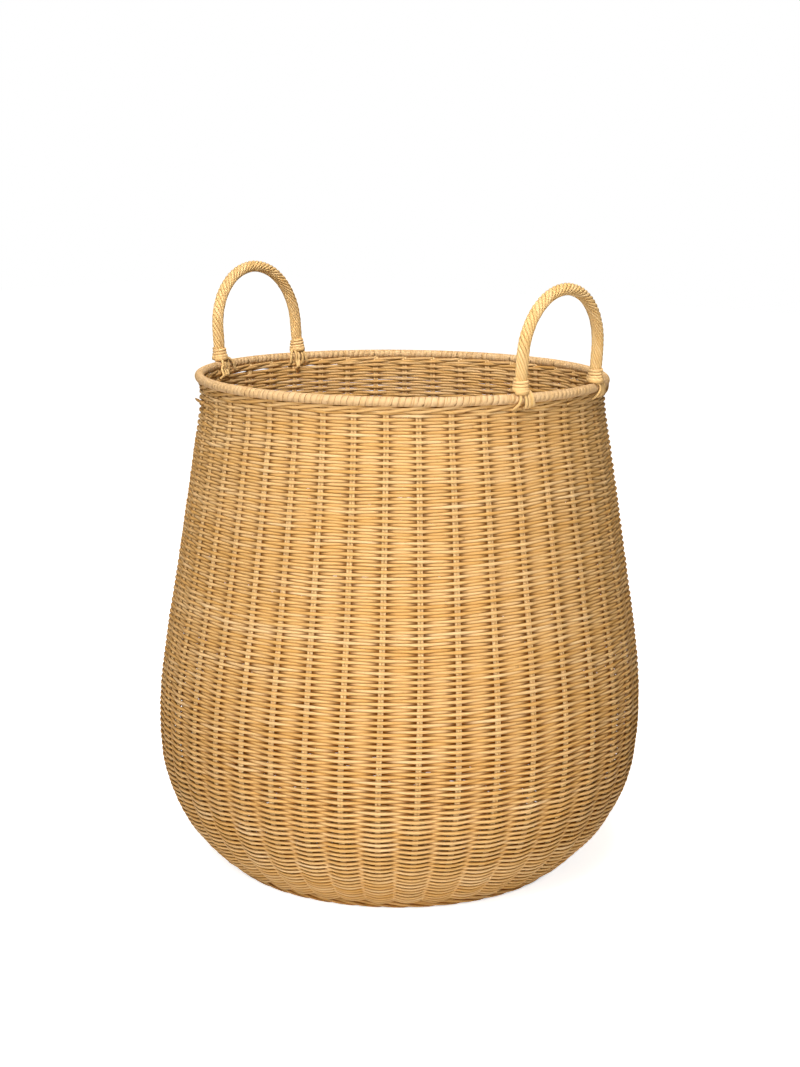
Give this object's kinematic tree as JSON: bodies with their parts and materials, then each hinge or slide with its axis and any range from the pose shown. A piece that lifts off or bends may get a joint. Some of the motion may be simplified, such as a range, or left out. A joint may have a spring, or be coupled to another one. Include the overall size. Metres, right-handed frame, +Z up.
{
  "type": "laundry basket",
  "caption": "Round woven cane laundry basket with a wide belly, narrower open mouth, wrapped rim, roped arch handles and a ring foot.",
  "frame": {"origin": "on the basket's axis, in the plane it stands on", "axes": "+Z up along the basket's axis, a handle towards +X and the other towards -X"},
  "size_m": [0.491, 0.491, 0.6004],
  "materials": {
    "weaving_cane": "satin round cane, honey",
    "stake_cane": "satin round cane, pale honey",
    "border_cane": "satin round cane, honey",
    "rim_peel": "smooth, slightly glossy cane peel",
    "handle_cane": "satin round cane, honey",
    "collar_cane": "satin round cane, pale honey"
  },
  "bodies": {
    "root": {"wall_weave": "weaving_cane", "top_wale": "weaving_cane", "base_weave": "weaving_cane", "base_cross": "stake_cane", "foot_border": "border_cane", "rim_hoop": "stake_cane", "rim_binding": "rim_peel", "stake_pair_01": "stake_cane", "stake_pair_02": "stake_cane", "stake_pair_03": "stake_cane", "stake_pair_04": "stake_cane", "stake_pair_05": "stake_cane", "stake_pair_06": "stake_cane", "stake_pair_07": "stake_cane", "stake_pair_08": "stake_cane", "stake_pair_09": "stake_cane", "stake_pair_10": "stake_cane", "stake_pair_11": "stake_cane", "stake_pair_12": "stake_cane", "stake_pair_13": "stake_cane", "stake_pair_14": "stake_cane", "stake_pair_15": "stake_cane", "stake_pair_16": "stake_cane", "stake_pair_17": "stake_cane", "stake_pair_18": "stake_cane", "stake_pair_19": "stake_cane", "stake_pair_20": "stake_cane", "stake_pair_21": "stake_cane", "stake_pair_22": "stake_cane", "stake_pair_23": "stake_cane", "stake_pair_24": "stake_cane", "stake_pair_25": "stake_cane", "stake_pair_26": "stake_cane", "stake_pair_27": "stake_cane", "stake_pair_28": "stake_cane", "stake_pair_29": "stake_cane", "stake_pair_30": "stake_cane", "stake_pair_31": "stake_cane", "stake_pair_32": "stake_cane", "stake_pair_33": "stake_cane", "stake_pair_34": "stake_cane", "stake_pair_35": "stake_cane", "stake_pair_36": "stake_cane", "stake_pair_37": "stake_cane", "stake_pair_38": "stake_cane", "stake_pair_39": "stake_cane", "stake_pair_40": "stake_cane", "handle_right_core": "stake_cane", "handle_right_roping": "handle_cane", "handle_right_first_collar": "collar_cane", "handle_right_first_lashing": "handle_cane", "handle_right_second_collar": "collar_cane", "handle_right_second_lashing": "handle_cane", "handle_left_core": "stake_cane", "handle_left_roping": "handle_cane", "handle_left_first_collar": "collar_cane", "handle_left_first_lashing": "handle_cane", "handle_left_second_collar": "collar_cane", "handle_left_second_lashing": "handle_cane"}
  },
  "joints": []
}
